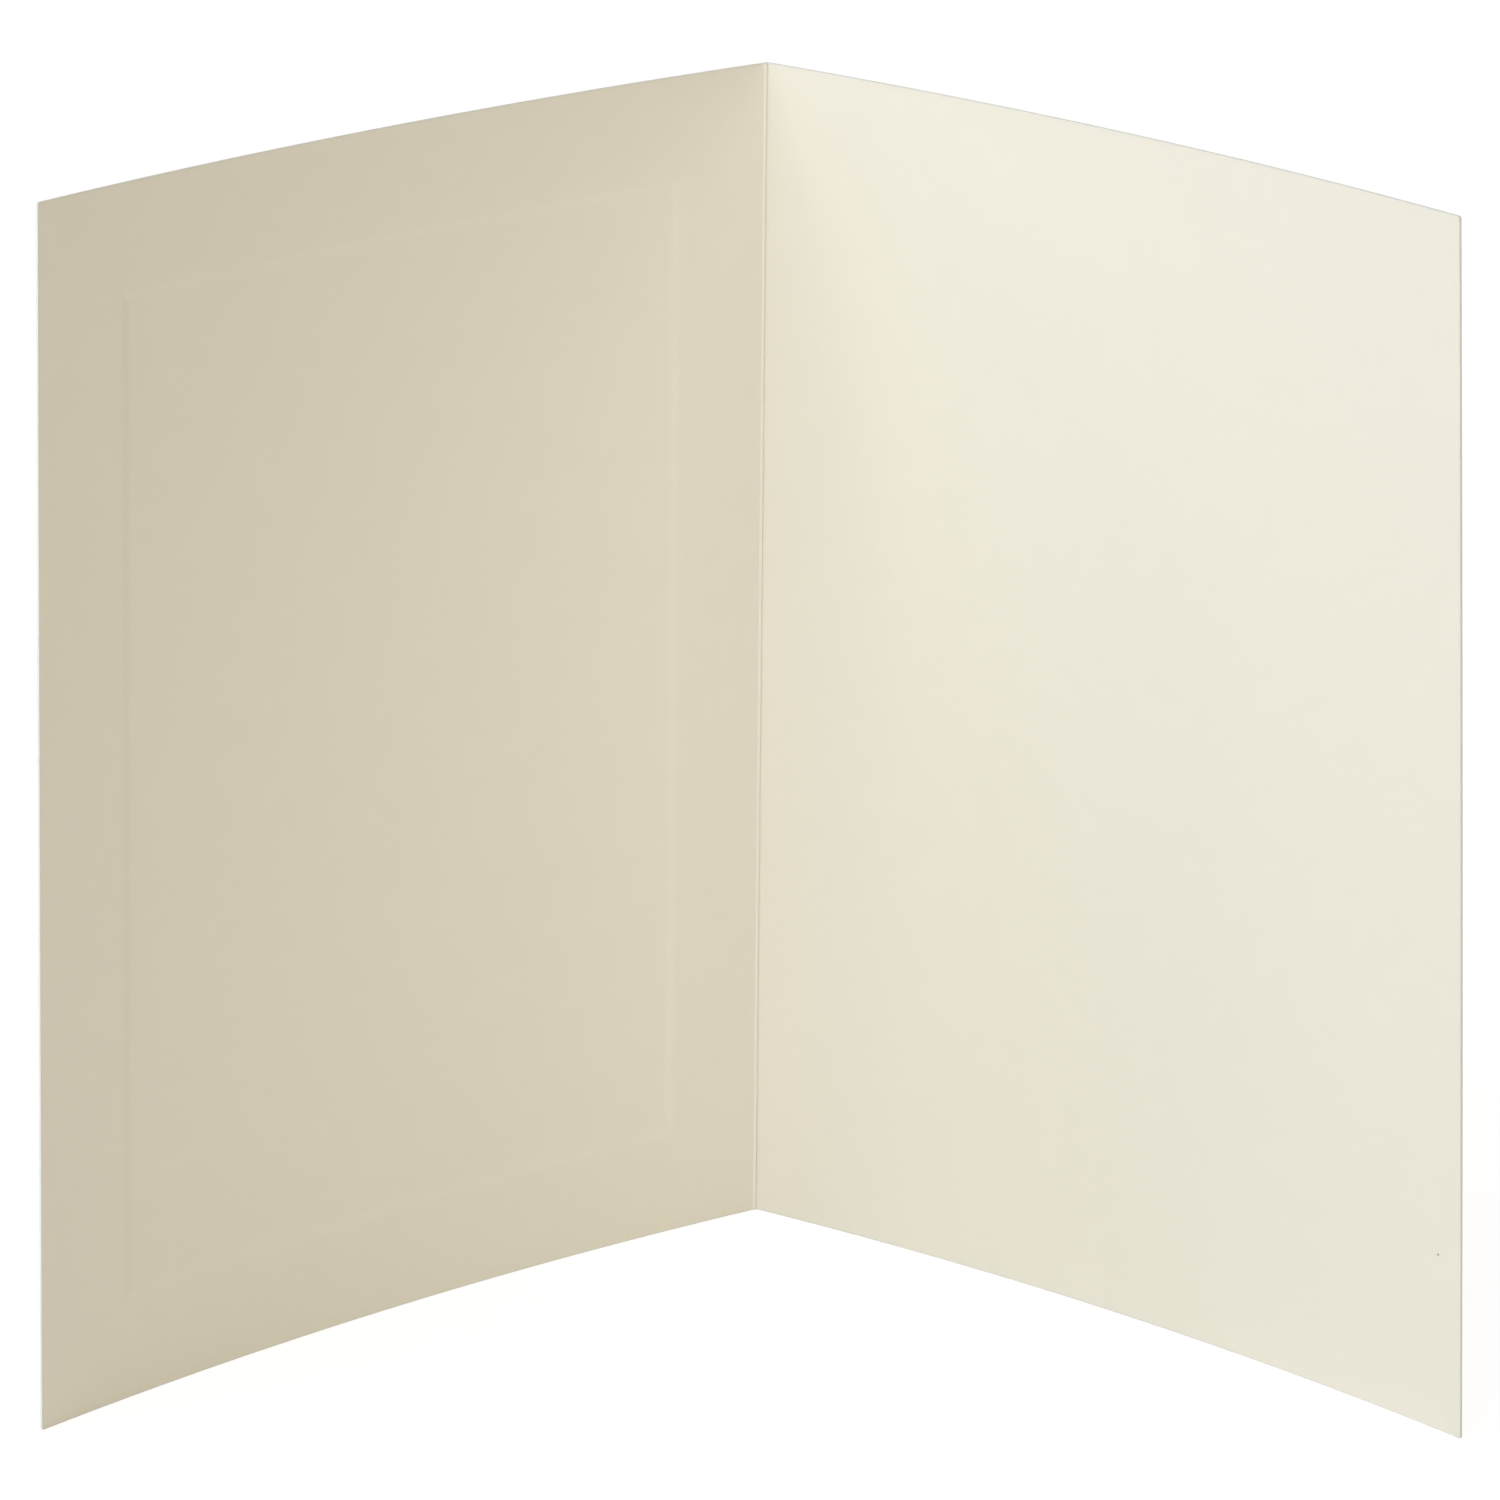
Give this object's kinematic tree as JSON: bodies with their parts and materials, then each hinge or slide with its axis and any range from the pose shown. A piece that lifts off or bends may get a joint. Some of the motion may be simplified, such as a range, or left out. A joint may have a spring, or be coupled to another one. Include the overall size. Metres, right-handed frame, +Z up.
{
  "type": "folded card",
  "caption": "Blank folded note card of heavy cream stock, standing open, with a scored fold, slightly bowed leaves and a pressed panel on the front leaf.",
  "frame": {"origin": "on the surface the card stands on, under the middle of its bounding box", "axes": "+Z up along the fold, +X from the front leaf's side to the back leaf's side, +Y towards the fold; the open side faces -Y"},
  "size_m": [0.1994, 0.0928, 0.1778],
  "materials": {
    "card_stock": "matt uncoated cream cover stock"
  },
  "bodies": {
    "root": {"folded_card": "card_stock"}
  },
  "joints": []
}
